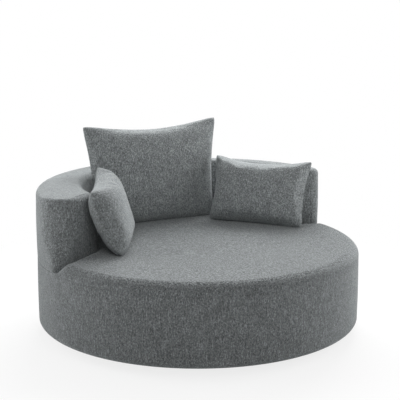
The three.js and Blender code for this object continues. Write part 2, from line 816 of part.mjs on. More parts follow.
// How high the seat's top is at a distance from the axis.
function seatTop(radius) {
  const profile = seatProfile(0);
  const next = profile.findIndex(([r]) => r > radius);
  if (next < 1) return next < 0 ? seamHeight : profile[0][1];
  const [[r0, z0], [r1, z1]] = [profile[next - 1], profile[next]];
  return z0 + ((z1 - z0) * (radius - r0)) / (r1 - r0);
}

// The least height of a pillow's cloth over the seat.
function clearanceOverSeat(group) {
  group.updateMatrixWorld(true);
  let least = Infinity;
  const point = new THREE.Vector3();
  for (const mesh of group.children) {
    const position = mesh.geometry.getAttribute('position');
    for (let i = 0; i < position.count; i++) {
      point.fromBufferAttribute(position, i).applyMatrix4(mesh.matrixWorld);
      least = Math.min(least, point.z - seatTop(Math.hypot(point.x, point.y)));
    }
  }
  return least;
}

chair.add(buildBase(), buildFrame(), buildSeat(), buildBand(), buildWall());
chair.add(buildPillow('back_pillow', backPillow));
chair.add(buildPillow('right_pillow', rightPillow));
chair.add(buildPillow('left_pillow', leftPillow));

export default chair;
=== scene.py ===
# %% [markdown]
# # A round cuddle chair in chenille
# This lesson dresses a round upholstered chair whose frame, foam and swivel base already exist as
# plain solids. The solids say where everything is; this file makes the cloth that is seen: the
# seat, the band round the drum, the wall that curls round the back, and three loose pillows.

# %% Load the frame
import json
import math

import bmesh
import bpy
import numpy as np
from mathutils import Matrix, Vector


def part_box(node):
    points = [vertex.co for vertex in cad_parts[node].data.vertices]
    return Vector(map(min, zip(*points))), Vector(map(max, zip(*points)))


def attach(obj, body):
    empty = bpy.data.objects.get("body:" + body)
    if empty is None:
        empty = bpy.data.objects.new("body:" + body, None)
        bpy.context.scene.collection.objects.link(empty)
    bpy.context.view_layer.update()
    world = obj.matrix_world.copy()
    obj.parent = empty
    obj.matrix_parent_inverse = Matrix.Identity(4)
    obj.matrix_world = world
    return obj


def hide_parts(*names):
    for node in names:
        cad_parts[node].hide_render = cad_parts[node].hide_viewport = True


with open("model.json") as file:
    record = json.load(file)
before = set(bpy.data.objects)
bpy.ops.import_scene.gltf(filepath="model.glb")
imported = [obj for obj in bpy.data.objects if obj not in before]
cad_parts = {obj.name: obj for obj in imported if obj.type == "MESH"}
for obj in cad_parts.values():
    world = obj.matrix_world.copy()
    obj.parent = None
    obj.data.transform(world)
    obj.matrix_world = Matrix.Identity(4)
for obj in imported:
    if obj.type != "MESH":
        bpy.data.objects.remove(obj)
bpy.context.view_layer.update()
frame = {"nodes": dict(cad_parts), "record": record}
scene = bpy.context.scene

# %% [markdown]
# ## Measures
# The heights and the drum's radius are read from the solids, so the cloth always lands on them.
# What a box can't tell, such as how far an edge is rounded, is written where it is first needed.
# The seat's solid is highest in its middle, by its crown, so its rim lies that much lower.

# %% Measures
band_low, band_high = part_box("band_cover")
drum_radius = (band_high.x - band_low.x) / 2
seam_z, underside_z = band_high.z, band_low.z
wall_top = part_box("back_cover")[1].z
seat_crown = 0.008
rim_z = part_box("seat_cover")[1].z - seat_crown
print("drum radius", round(drum_radius, 4), "seam", round(seam_z, 4))
print("seat's rim", round(rim_z, 4), "wall top", round(wall_top, 4))

# %% [markdown]
# ## Two helpers for meshes
# Every surface below is a grid: rows of points worked out with numpy. One helper lists the
# four-cornered faces of a grid, and the other makes the object, merges the points that meet at
# seams and poles, and turns all faces outwards.

# %% Grid and mesh helpers
def grid_faces(rows, columns, wrap_rows=False, wrap_columns=False, first=0):
    """Faces between neighbouring points of a rows by columns grid, which may close on itself."""
    i = np.arange(rows if wrap_rows else rows - 1)
    j = np.arange(columns if wrap_columns else columns - 1)
    i, j = np.meshgrid(i, j, indexing="ij")
    below, right = (i + 1) % rows, (j + 1) % columns
    corners = [i * columns + j, i * columns + right, below * columns + right, below * columns + j]
    return first + np.stack(corners, -1).reshape(-1, 4)


def make_piece(name, points, faces, merge=1e-5):
    """A smooth closed object from an array of points and an array of faces."""
    mesh = bpy.data.meshes.new(name)
    mesh.from_pydata(points.reshape(-1, 3).tolist(), [], faces.tolist())
    work = bmesh.new()
    work.from_mesh(mesh)
    bmesh.ops.remove_doubles(work, verts=work.verts, dist=merge)
    bmesh.ops.dissolve_degenerate(work, edges=work.edges, dist=merge / 10)
    bmesh.ops.recalc_face_normals(work, faces=work.faces)
    work.to_mesh(mesh)
    work.free()
    mesh.polygons.foreach_set("use_smooth", np.ones(len(mesh.polygons), bool))
    piece = bpy.data.objects.new(name, mesh)
    scene.collection.objects.link(piece)
    print(name, len(mesh.vertices), "points")
    return piece

# %% [markdown]
# ## Shader maths as plain expressions
# A material's numbers are sockets joined by nodes. This small class wraps one socket, so that an
# expression such as `1 - mask * 0.3` adds the Math nodes by itself. A second class holds a
# material and adds any other node from its type, its settings and its inputs.

# %% Sockets with operators
class Wire:
    """One output socket; arithmetic on it adds Math nodes."""

    def __init__(self, tree, socket):
        self.tree, self.socket = tree, socket

    def math(self, operation, first, second):
        """A Math node fed by two wires or numbers."""
        node = self.tree.nodes.new("ShaderNodeMath")
        node.operation = operation
        for slot, value in zip(node.inputs, (first, second)):
            if isinstance(value, Wire):
                self.tree.links.new(value.socket, slot)
            else:
                slot.default_value = value
        return Wire(self.tree, node.outputs[0])

    def __add__(self, other):
        return self.math("ADD", self, other)

    __radd__ = __add__

    def __mul__(self, other):
        return self.math("MULTIPLY", self, other)

    def __sub__(self, other):
        return self.math("SUBTRACT", self, other)

    def __rsub__(self, other):
        return self.math("SUBTRACT", other, self)

    def clamp(self):
        """The value, held between 0 and 1."""
        return self.math("MAXIMUM", self.math("MINIMUM", self, 1.0), 0.0)

# %% [markdown]
# In the calls below an input is given by its name, with a low line where the name has a space, or
# by a low line and its number where several inputs share one name.

# %% Materials that add their own nodes
class Finish:
    """A material with its shader; node() adds any node and gives one of its wires."""

    def __init__(self, name, **fixed):
        self.material = bpy.data.materials.new(name)
        self.material.use_nodes = True
        self.tree = self.material.node_tree
        self.shader = self.tree.nodes["Principled BSDF"]
        for label, value in fixed.items():
            self.shader.inputs[label.replace("_", " ")].default_value = value

    def node(self, kind, out=0, settings=None, **inputs):
        """A new node with its settings and inputs; out is the number of the wire it gives."""
        node = self.tree.nodes.new("ShaderNode" + kind)
        for label, value in (settings or {}).items():
            setattr(node, label, value)
        for label, value in inputs.items():
            slot = node.inputs[int(label[1:]) if label[0] == "_" else label]
            if isinstance(value, Wire):
                self.tree.links.new(value.socket, slot)
            else:
                slot.default_value = value
        return Wire(self.tree, node.outputs[out])

    def ramp(self, factor, stops):
        """A colour ramp whose stops each have a place from 0 to 1 and a colour."""
        node = self.tree.nodes.new("ShaderNodeValToRGB")
        elements = node.color_ramp.elements
        while len(elements) < len(stops):
            elements.new(0.5)
        for element, (place, colour) in zip(elements, stops):
            element.position, element.color = place, (*colour, 1)
        self.tree.links.new(factor.socket, node.inputs[0])
        return Wire(self.tree, node.outputs[0])

    def darken(self, colour, share):
        """A colour times a share."""
        return self.node("Mix", out=2, settings={"data_type": "RGBA", "blend_type": "MULTIPLY"},
                         _0=1.0, _6=colour, _7=share)

    def coordinates(self):
        """The place on the object, in metres."""
        return self.node("TexCoord", out=3)

    def place(self, scale=(1, 1, 1)):
        """The place on the object, scaled along each axis."""
        return self.node("Mapping", Vector=self.coordinates(), Scale=scale)

    def noise(self, at, scale, detail=2.0, roughness=0.5, distortion=0.0):
        """Soft noise about a half."""
        return self.node("TexNoise", Vector=at, Scale=scale, Detail=detail,
                         Roughness=roughness, Distortion=distortion)

    def feed(self, **wires):
        """Joins wires to the shader's inputs."""
        for label, wire in wires.items():
            self.tree.links.new(wire.socket, self.shader.inputs[label.replace("_", " ")])

    def bump(self, height, strength, distance):
        """Raises the surface by a height between 0 and 1 times a distance."""
        self.feed(Normal=self.node("Bump", Height=height, Strength=strength, Distance=distance))

# %% [markdown]
# ## Chenille
# Chenille is woven from soft tufted yarn. Seen from a step away it is a mid grey with small
# pale and dark flecks, drawn out a little along the nap, over broad faint clouds. Four noises of
# different size make these; the flecks also raise the surface. A sheen lightens the cloth
# where it turns away from the eye, as the fine pile does.

# %% Chenille material
cloth_tint = np.array([0.950, 1.012, 1.026])
tone_stops = [(0.30, 0.45), (0.46, 0.86), (0.56, 1.1), (0.72, 1.9)]
# Painted light: the height over which the wall's paler grey rises from the band's tone.
painted_light_fade_height = 0.14


def chenille(name, nap, grey, contrast, foot=1.0):
    """Flecked pile cloth. nap is the pattern's scale along x, y and z, and less is longer. The
    tone is a half plus each noise's distance from a half times its weight, and the stops turn it
    into a share of the grey. foot is the share of the colour that is left at the sewn line, from
    where it rises to full over the fade's height; this fades out a copy's painted light there."""
    cloth = Finish(name, Sheen_Weight=0.5, Sheen_Roughness=0.45,
                   Sheen_Tint=(0.93, 0.98, 1.0, 1.0), Specular_IOR_Level=0.1)
    along_nap = cloth.place(nap)
    far_along_nap = cloth.place(tuple(np.array(nap) ** 5))
    streak = cloth.noise(far_along_nap, 280, 1.0, 0.5)
    yarn = cloth.noise(along_nap, 420, 2.0, 0.6, 0.4)
    fleck = cloth.noise(along_nap, 215, 1.0, 0.6, 0.5)
    cloud = cloth.noise(cloth.place(), 24, 3.0, 0.6)
    tone = (yarn - 0.5) * 0.7 + (fleck - 0.5) * contrast + (cloud - 0.5) * 0.2 + 0.5
    tone = tone + (streak - 0.5) * 0.35
    full = cloth_tint * grey
    colour = cloth.ramp(tone, [(stop, tuple(full * share)) for stop, share in tone_stops])
    # Painted light fading out: the colour is darker towards the sewn line, down to foot's share.
    if foot < 1:
        height = cloth.node("SeparateXYZ", out=2, Vector=cloth.coordinates())
        rise = ((height - seam_z) * (1 / painted_light_fade_height)).clamp()
        colour = cloth.darken(colour, rise * (1 - foot) + foot)
    cloth.feed(Base_Color=colour, Roughness=0.98 - fleck * 0.14)
    cloth.bump(yarn * 0.5 + fleck * 1.2, 0.7, 0.003)
    print(name, "grey", grey)
    return cloth.material

# %% [markdown]
# One cloth covers the whole chair, and the greys of its copies differ to paint light and shade on
# it. The seat's is darkest, as painted shade, and most flecked. The wall's is paler than the
# band's, as painted light, which fades out towards its sewn line. The pillows' is palest, as
# painted light, and the left pillow's is a shade darker, as painted shade.

# %% The chair's cloths
side_nap, pillow_nap = (1.0, 1.0, 0.62), (1.0, 1.0, 0.66)
# Painted shade: the seat's grey is lower than the band's.
seat_cloth_painted_shade = chenille("seat_chenille_painted_shade", nap=(1.0, 0.7, 1.0), grey=0.143, contrast=2.4)
side_cloth = chenille("band_chenille", side_nap, grey=0.172, contrast=0.75)
# Painted light: the wall's grey is higher than the band's and falls to the band's tone below.
wall_cloth_painted_light = chenille("wall_chenille_painted_light", side_nap, grey=0.226, contrast=0.75, foot=0.76)
# Painted light: the pillows' grey is the highest, for their faces that lean back to the light.
pillow_cloth_painted_light = chenille("pillow_chenille", pillow_nap, grey=0.308, contrast=0.7)
# Painted shade: the left pillow's grey is lower than the other pillows', for the way it faces.
left_pillow_cloth_painted_shade = chenille("left_pillow_chenille_painted_shade", pillow_nap, grey=0.238, contrast=0.7)

# %% [markdown]
# ## The wall in plan
# Seen from above the wall is a crescent: the drum's own circle outside, the well's circle inside,
# and two slanted arm ends with rounded corners. The well's middle is to the right of the drum's
# middle and behind it, which is why one arm is thick and the other thin. The well widens upwards,
# because the wall's inner face leans out. The thick arm's outer corner is tight at its foot, where
# it meets the drum's side, and opens to its full round above.

# %% Crescent measures
well_middle = np.array([0.061, 0.087])
well_radius_seat, well_radius_top = 0.485, 0.505
arm_slant = math.radians(25.8)
right_arm_y, left_arm_y = -0.055, 0.008
right_round, left_round, inner_round = 0.046, 0.092, 0.038
left_foot_round, opening_start, opening_height = 0.036, 0.03, 0.13


def well_radius_at(z):
    """The well's radius at a height, on a straight line through its two known radii."""
    share = (z - rim_z) / (wall_top - rim_z)
    return well_radius_seat + (well_radius_top - well_radius_seat) * share


def left_round_at(z):
    """The round of the thick arm's outer corner. It goes from the foot's to the full one by three
    times the squared share of the way less twice the cubed one, so it starts and ends gently."""
    share = min(max((z - seam_z - opening_start) / opening_height, 0), 1)
    return left_foot_round + (left_round - left_foot_round) * share**2 * (3 - 2 * share)


print("well radius half way up", round(well_radius_at((rim_z + wall_top) / 2), 4))
print("thick arm's round at the seat's rim", round(left_round_at(rim_z), 4))

# %% [markdown]
# The middle of each rounded corner is where two offset lines meet. It stays put when the outline
# is drawn in, so rounded top edges come out even. A long seam runs up the cover by each arm's outer
# corner, and the cloth is drawn into a thin groove there.

# %% Corners, lines and arcs
arm_seam = math.radians(62)
groove_depth, groove_width = 0.0016, 0.004


def heading(vector):
    """The angle of a vector, from the x axis round towards the y axis."""
    return math.atan2(vector[1], vector[0])


def onward(start, end):
    """The end heading, raised by whole turns until it comes after the start."""
    return start + (end - start) % (2 * math.pi)


def first_meeting(start, direction, middle, reach):
    """The point where a line first comes within reach of a middle."""
    offset = start - middle
    along = offset @ direction
    travel = -along - math.sqrt(along**2 - offset @ offset + reach**2)
    return start + travel * direction


def arm_corners(side, end_y, outer_round, well_radius):
    """The slant's outward heading and the middles of an arm end's two rounded corners."""
    inward = np.array([-side * math.cos(arm_slant), math.sin(arm_slant)])
    front = np.array([-side * math.sin(arm_slant), -math.cos(arm_slant)])
    tip = np.array([side * drum_radius, end_y])
    outer = first_meeting(tip - front * outer_round, inward, np.zeros(2), drum_radius - outer_round)
    inner = first_meeting(tip - front * inner_round, inward, well_middle, well_radius + inner_round)
    return front, outer, inner


def arc_points(middle, reach, start, end, steps, seam=None):
    """Points round an arc. A sewn groove at one heading is a bell curve taken off the reach."""
    angle = np.linspace(start, end, steps + 1)[:-1]
    if seam is not None:
        away = (angle - seam) * reach / groove_width
        reach = (reach - groove_depth * np.exp(-(away**2)))[:, None]
    return middle + reach * np.stack([np.cos(angle), np.sin(angle)], -1)


def line_points(start, end, steps):
    """Even points along a line, without its last."""
    share = np.linspace(0, 1, steps + 1)[:-1, None]
    return start + (end - start) * share


for side, end_y, outer_round in ((1, right_arm_y, right_round), (-1, left_arm_y, left_round)):
    _, outer, inner = arm_corners(side, end_y, outer_round, well_radius_seat)
    print("corner middles", outer.round(3), inner.round(3))

# %% [markdown]
# The outline is listed in two halves, outer and inner, with as many points each, so that a top
# can be laid between them like the rungs of a ladder.

# %% Crescent outline
line_steps, corner_steps, arc_steps = 5, 48, 190


def wall_halves(z, inset):
    """The outer and inner half of the crescent at a height, drawn in by an inset. Each half is a
    line from the middle of one arm end, a corner, a long arc, a corner, and a line to the middle
    of the other arm end. The turns are the headings between which the arcs run."""
    well, left = well_radius_at(z), left_round_at(z)
    right_front, right_outer, right_inner = arm_corners(1, right_arm_y, right_round, well)
    left_front, left_outer, left_inner = arm_corners(-1, left_arm_y, left, well)
    right_touch = right_outer + right_front * (right_round - inset)
    right_turn = right_inner + right_front * (inner_round - inset)
    left_touch = left_outer + left_front * (left - inset)
    left_turn = left_inner + left_front * (inner_round - inset)
    right_mid, left_mid = (right_touch + right_turn) / 2, (left_touch + left_turn) / 2

    turns = [heading(right_front)]
    for vector in (right_outer, left_outer, left_front):
        turns.append(onward(turns[-1], heading(vector)))
    outer = np.concatenate([
        line_points(right_mid, right_touch, line_steps),
        arc_points(right_outer, right_round - inset, turns[0], turns[1], corner_steps,
                   seam=turns[1] - arm_seam),
        arc_points(np.zeros(2), drum_radius - inset, turns[1], turns[2], arc_steps),
        arc_points(left_outer, left - inset, turns[2], turns[3], corner_steps,
                   seam=turns[2] + arm_seam),
        line_points(left_touch, left_mid, line_steps), [left_mid]])

    left_start, right_start = heading(left_front), heading(well_middle - right_inner)
    left_end = onward(left_start, heading(well_middle - left_inner))
    right_end = onward(right_start, heading(right_front))
    well_start, well_end = heading(left_inner - well_middle), heading(right_inner - well_middle)
    inner = np.concatenate([
        line_points(left_mid, left_turn, line_steps),
        arc_points(left_inner, inner_round - inset, left_start, left_end, corner_steps),
        arc_points(well_middle, well + inset, well_start, well_end, arc_steps),
        arc_points(right_inner, inner_round - inset, right_start, right_end, corner_steps),
        line_points(right_turn, right_mid, line_steps), [right_mid]])
    return outer, inner


def wall_ring(z, inset):
    """The crescent's closed outline at a height, as points in the room."""
    outer, inner = wall_halves(z, inset)
    flat = np.concatenate([outer[:-1], inner[:-1]])
    return np.column_stack([flat, np.full(len(flat), z)])


wall_foot = wall_ring(rim_z, 0.0)[:, :2]
print("points round the crescent", len(wall_foot))

# %% [markdown]
# ## The wall
# The cover is a row of outlines up the wall, each drawn in by its own amount. It swells by two
# millimetres between its sewn edges and rolls over at the top on a small radius. Rungs from the
# outer to the inner half close the top, a touch higher in the middle where the foam pushes up, and
# the hidden foot in the same way.

# %% Wall cover
wall_edge = 0.022
crown_span = 0.07


def rungs(z, inset, crown, count=10):
    """A lid between the two halves: straight rungs, raised in their middle by a parabola of the
    crown's height. A rung shorter than the crown's span rises less, by the square of its share."""
    outer, inner = wall_halves(z, inset)
    share = np.linspace(0, 1, count + 1)[:, None, None]
    across = inner[::-1] - outer
    flat = outer + across * share
    length = np.linalg.norm(across, axis=1)[None, :, None]
    height = z + crown * 4 * share * (1 - share) * np.clip(length / crown_span, 0, 1) ** 2
    return np.concatenate([flat, height], -1)


def build_wall():
    """Outlines stacked up the wall. The inset is half a sine wave of swell up the side and then a
    quarter circle over the top, with two rows below that tuck the cloth into the sewn line."""
    swell, tuck, top_crown, foot_crown = 0.002, 0.0008, 0.002, 0.001
    foot_z, second_z, side_foot = seam_z + 0.0004, seam_z + 0.0022, seam_z + 0.005
    side_top = wall_top - wall_edge
    rise = np.linspace(0, 1, 15)
    roll = np.linspace(0, math.pi / 2, 9)[1:]
    heights = np.concatenate([[foot_z, second_z],
                              side_foot + (side_top - side_foot) * rise,
                              side_top + wall_edge * np.sin(roll)])
    insets = np.concatenate([[tuck, tuck * 0.3], -swell * np.sin(math.pi * rise),
                             wall_edge * (1 - np.cos(roll))])
    side = np.stack([wall_ring(z, inset) for z, inset in zip(heights, insets)])
    lid = rungs(wall_top, wall_edge, top_crown)
    foot = rungs(foot_z, tuck, foot_crown)
    faces, first = [], 0
    for part in (side, lid, foot):
        rows, columns = part.shape[:2]
        faces.append(grid_faces(rows, columns, wrap_columns=part is side, first=first))
        first += rows * columns
    points = np.concatenate([part.reshape(-1, 3) for part in (side, lid, foot)])
    return make_piece("wall_upholstery", points, np.concatenate(faces))


wall_piece = build_wall()
wall_piece.data.materials.append(wall_cloth_painted_light)
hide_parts("back_cover", "back_foam")
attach(wall_piece, "chair")

# %% [markdown]
# ## The seat
# The seat is one padded top. It is nearly level and a few millimetres higher in its middle. At a
# line near its rim it turns down to the sewn line round the drum, and it dips into a crease where
# it meets the wall, deepest by the rim. Its height is a formula of the place: one term from the
# distance to the drum's edge, one from the distance to the wall. The same formula later tells the
# pillows what they rest on.

# %% Seat height
shoulder_width, shoulder_drop, shoulder_kink = 0.044, 0.037, 0.25
shoulder_line = drum_radius - shoulder_width
crease_depth, crease_width = 0.022, 0.048
rim_crease_depth, rim_crease_width = 0.018, 0.03
seam_lip = 0.003
block_size = 4000


def distance_to_wall(x, y):
    """Shortest distance from each place to the wall's outline, by its straight pieces."""
    step = np.roll(wall_foot, -1, 0) - wall_foot
    length = (step**2).sum(-1)
    place = np.stack([x.ravel(), y.ravel()], -1)
    near = np.empty(len(place))
    for block in np.array_split(np.arange(len(place)), max(1, len(place) // block_size)):
        offset = place[block, None] - wall_foot
        share = np.clip((offset * step).sum(-1) / length, 0, 1)
        near[block] = np.sqrt(((offset - share[..., None] * step) ** 2).sum(-1).min(1))
    return near.reshape(x.shape)


def seat_height(x, y):
    """Level top with a crown, which is a parabola of the distance from the middle. Past the
    shoulder's line it falls by a straight share, the kink, and by a quarter of an ellipse for the
    rest. Along the wall a crease falls by the square of the nearness."""
    reach = np.hypot(x, y)
    out = np.clip((reach - shoulder_line) / shoulder_width, 0, 1)
    turned_down = shoulder_kink * out + (1 - shoulder_kink) * (1 - np.sqrt(1 - out**2))
    crown = seat_crown * (1 - np.clip(reach / shoulder_line, 0, 1) ** 2)
    near = np.clip(1 - distance_to_wall(x, y) / (crease_width + rim_crease_width * out), 0, 1)
    crease = (crease_depth + rim_crease_depth * out) * near**2
    return np.maximum(rim_z + crown - shoulder_drop * turned_down - crease, seam_z + seam_lip)


print("seat height in the middle", seat_height(np.zeros(1), np.zeros(1)).round(4))

# %% [markdown]
# The grid runs out from a point near the middle. Each of its rays ends at the drum's edge or,
# behind, a little way inside the wall, so the cushion is seen to go under it.

# %% Rays over the seat
def ray_to_circle(middle, direction, radius):
    """How far each ray from a place goes before it meets a circle round the drum's middle."""
    along = direction @ middle
    return -along + np.sqrt(along**2 - middle @ middle + radius**2)


def ray_lengths(middle, direction, tuck=0.012):
    """How far each ray goes before it meets the drum's circle or a straight piece of the wall's
    outline, drawn in by the tuck: the nearest crossing that lies ahead and within a piece."""
    start = wall_ring(rim_z, tuck)[:, :2]
    step = np.roll(start, -1, 0) - start
    offset = start - middle
    cross = direction[:, :1] * step[:, 1] - direction[:, 1:] * step[:, 0]
    travel = (offset[:, 0] * step[:, 1] - offset[:, 1] * step[:, 0]) / cross
    share = (offset[:, 0] * direction[:, 1:] - offset[:, 1] * direction[:, :1]) / cross
    hit = (share >= 0) & (share <= 1) & (travel > 0)
    circle = ray_to_circle(middle, direction, drum_radius)
    return np.minimum(circle, np.where(hit, travel, np.inf).min(1))


seat_middle = np.array([0.03, -0.12])
angles = np.linspace(0, 2 * math.pi, 720, endpoint=False)
seat_rays = np.stack([np.cos(angles), np.sin(angles)], -1)
seat_lengths = ray_lengths(seat_middle, seat_rays)
print("rays", len(angles), "from", seat_lengths.min().round(3), "to", seat_lengths.max().round(3))

# %% [markdown]
# The cushion's rows crowd together towards the shoulder, by a sine, so that its turn is smooth.
# Below the top come a short side down to the sewn line and a flat base that closes the mesh. Past a
# line just inside the rim the cushion has the band's cloth, so the seat's painted shade stops
# there.

# %% Seat cushion
top_rows, shoulder_rows, side_rows, base_rows = 44, 26, 6, 8
narrowest_edge = 0.02
# Painted shade: the seat's darker cloth stops at this line, and the band's cloth is past it.
seat_shade_line = drum_radius - 0.020


def build_seat():
    """Rows of rings from the middle out to the shoulder's line, over the shoulder, down the side
    and back to the middle below. Each ring is a share of the way along every ray."""
    line = ray_to_circle(seat_middle, seat_rays, shoulder_line)
    edge = seat_lengths - np.minimum(line, seat_lengths - narrowest_edge)
    level = seat_lengths - edge
    inner = np.sin(np.linspace(0, math.pi / 2, top_rows))[:, None] * level
    outer = level + edge * np.sin(np.linspace(0, math.pi / 2, shoulder_rows)[1:, None])
    reach = np.concatenate([inner, outer])
    x = seat_middle[0] + reach * np.cos(angles)
    y = seat_middle[1] + reach * np.sin(angles)
    top = np.stack([x, y, seat_height(x, y)], -1)

    base_z = seam_z + 0.0002
    fall = np.linspace(0, 1, side_rows)[1:, None]
    tuck = np.array([0, 0, 0, 0.0001, 0.0005])[:, None]
    side_x = x[-1] - tuck * np.cos(angles)
    side_y = y[-1] - tuck * np.sin(angles)
    side_z = top[-1, :, 2] + (base_z - top[-1, :, 2]) * fall
    side = np.stack([side_x, side_y, side_z], -1)

    shrink = np.linspace(1, 0, base_rows)[1:, None]
    base_x = seat_middle[0] + (side_x[-1] - seat_middle[0]) * shrink
    base_y = seat_middle[1] + (side_y[-1] - seat_middle[1]) * shrink
    base = np.stack([base_x, base_y, np.full(base_x.shape, base_z)], -1)
    points = np.concatenate([top, side, base])
    return make_piece("seat_cushion", points, grid_faces(*points.shape[:2], wrap_columns=True))


def second_cloth(piece, cloth, chosen):
    """Gives the faces whose middles answer to a rule the piece's second cloth."""
    piece.data.materials.append(cloth)
    middles = np.empty(len(piece.data.polygons) * 3)
    piece.data.polygons.foreach_get("center", middles)
    picked = chosen(middles.reshape(-1, 3)).astype(np.int32)
    piece.data.polygons.foreach_set("material_index", picked)
    print(piece.name, picked.sum(), "faces in the second cloth")


def past_seat_shade_line(middles):
    """Which places are further from the drum's middle than the line between the two cloths."""
    return np.hypot(middles[:, 0], middles[:, 1]) > seat_shade_line


seat_piece = build_seat()
seat_piece.data.materials.append(seat_cloth_painted_shade)
second_cloth(seat_piece, side_cloth, past_seat_shade_line)
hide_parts("seat_cover", "seat_foam")
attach(seat_piece, "chair")

# %% [markdown]
# ## The band
# The band is a turned shape: one profile carried round a circle. It starts at the sewn line, swells
# a little as the foam behind it does, and rolls under the drum. The profile comes back up on the
# inside, so the band is a closed sleeve of cloth and foam.

# %% Band round the drum
skirt_width, skirt_rise = 0.072, 0.036


def build_band():
    """One profile turned about the drum's middle: half a sine wave of swell down the side, a
    quarter of an ellipse under the drum, and a straight way back up behind the foam."""
    thick, swell, seam_gap, seam_tuck = 0.013, 0.0015, 0.0002, 0.0005
    side_start, foot = seam_z - 0.002, underside_z + skirt_rise
    hem_rise, back_rise = 0.004, 0.01
    straight = np.linspace(0, 1, 24)
    roll = np.linspace(0, math.pi / 2, 22)[1:]
    side_r = drum_radius + swell * np.sin(math.pi * straight)
    side_z = side_start + (foot - side_start) * straight
    under_r = drum_radius - skirt_width * (1 - np.cos(roll))
    under_z = foot - skirt_rise * np.sin(roll)
    back_r = np.array([drum_radius - skirt_width, drum_radius - thick, drum_radius - thick])
    back_z = np.array([underside_z + hem_rise, foot + back_rise, seam_z - seam_gap])
    reach = np.concatenate([[drum_radius - seam_tuck], side_r, under_r, back_r])
    height = np.concatenate([[seam_z - seam_gap], side_z, under_z, back_z])
    turn = np.linspace(0, 2 * math.pi, 360, endpoint=False)
    shape = (len(reach), len(turn))
    points = np.stack([reach[:, None] * np.cos(turn), reach[:, None] * np.sin(turn),
                       np.broadcast_to(height[:, None], shape)], -1)
    faces = grid_faces(*shape, wrap_rows=True, wrap_columns=True)
    return make_piece("drum_band", points, faces)


band_piece = build_band()
band_piece.data.materials.append(side_cloth)
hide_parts("band_cover", "side_foam")
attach(band_piece, "chair")

# %% [markdown]
# ## Pillows
# Each pillow is two panels sewn edge to edge and stuffed. A pillow's entry gives:
# - its size, how far each panel bulges, and how plump it is, where less is boxier;
# - how far the sides, the top and the foot are drawn in between the corners, how much narrower the
#   foot is at each end, and how blunt the corners are;
# - its heading, its lean, the place of its foot and its rise over its solid, in degrees and metres;
# - for a pillow that has been sat against: powers that fill it out towards its near end, its low
#   edge and its high edge, a chest that moves its bulk up, a peak at the far upper corner, a lower
#   near corner that is tucked in and puckered, and a bend at the near end.

# %% Pillow sizes
plain = dict(cells=(54, 38), cloth=pillow_cloth_painted_light, rise=0, near=2, low=2, high=2,
             chest=0, peak=0, tucked=0, bend=0, pucker=0)
pillows = {
    "back_pillow": plain | dict(
        width=0.688, height=0.475, front=0.090, back=0.078, plump=0.45,
        side=0.024, top=0.038, foot=0.006, taper=0.032, blunt=0.012,
        heading=-98.5, lean=6.0, rise=0.007, place=(0.058, 0.408), cells=(66, 46), seed=3),
    "right_pillow": plain | dict(
        width=0.482, height=0.316, front=0.074, back=0.050, plump=0.42,
        side=0.016, top=0.030, foot=0.004, taper=0.008, blunt=0.009,
        heading=209.7, lean=21.0, rise=0.007, place=(0.377, 0.080), low=2.6, seed=5),
    "left_pillow": plain | dict(
        width=0.474, height=0.310, front=0.080, back=0.036, plump=0.44,
        side=0.004, top=0.024, foot=0.002, taper=0.0, blunt=0.014,
        heading=-36.5, lean=24.0, place=(-0.296, 0.119), near=2.6, low=6.0, high=2.3,
        chest=0.32, peak=0.026, tucked=0.010, bend=0.018, pucker=0.003,
        cloth=left_pillow_cloth_painted_shade, seed=8),
}
print("pillows", {name: (spec["width"], spec["height"]) for name, spec in pillows.items()})

# %% [markdown]
# The start is a formula: an outline with its corners out and its sides drawn in, and a height that
# falls to nothing at the seam. Shallow waves by the seams stand for the folds that every stuffed
# pillow has there.

# %% Pillow shape
even_share, flat_lip, panel_gap = 0.45, 0.003, 0.0012
corner_power, tuck_power, seam_steepness = 12, 5, 60
pleat_depth, pleat_count, pleat_fade, fold_start = 0.0011, 7, 7, 6
fan_width, fan_height = 0.25, 0.3


def spread(count):
    """Places from -1 to 1 that crowd towards both ends: part even, part a sine."""
    even = np.linspace(-1, 1, count + 1)
    return even_share * even + (1 - even_share) * np.sin(even * math.pi / 2)


def folds(spec, u, v):
    """Random waves along each pair of edges that die away inwards by a power of e, and a fan of
    waves under a bell curve at the lower near corner."""
    random = np.random.default_rng(spec["seed"])
    pleat = np.zeros_like(u)
    for _ in range(pleat_count):
        a, b, phase = random.uniform(9, 26), random.uniform(9, 26), random.uniform(0, 6.28, 2)
        pleat += np.exp(-(1 - np.abs(v)) * pleat_fade) * np.sin(a * u + phase[0])
        pleat += np.exp(-(1 - np.abs(u)) * pleat_fade) * np.sin(b * v + phase[1])
    gathered = np.exp(-(((u + 1) / fan_width) ** 2) - ((v + 1) / fan_height) ** 2)
    return pleat_depth * pleat + spec["pucker"] * gathered * np.sin(v * 30 + u * 12)


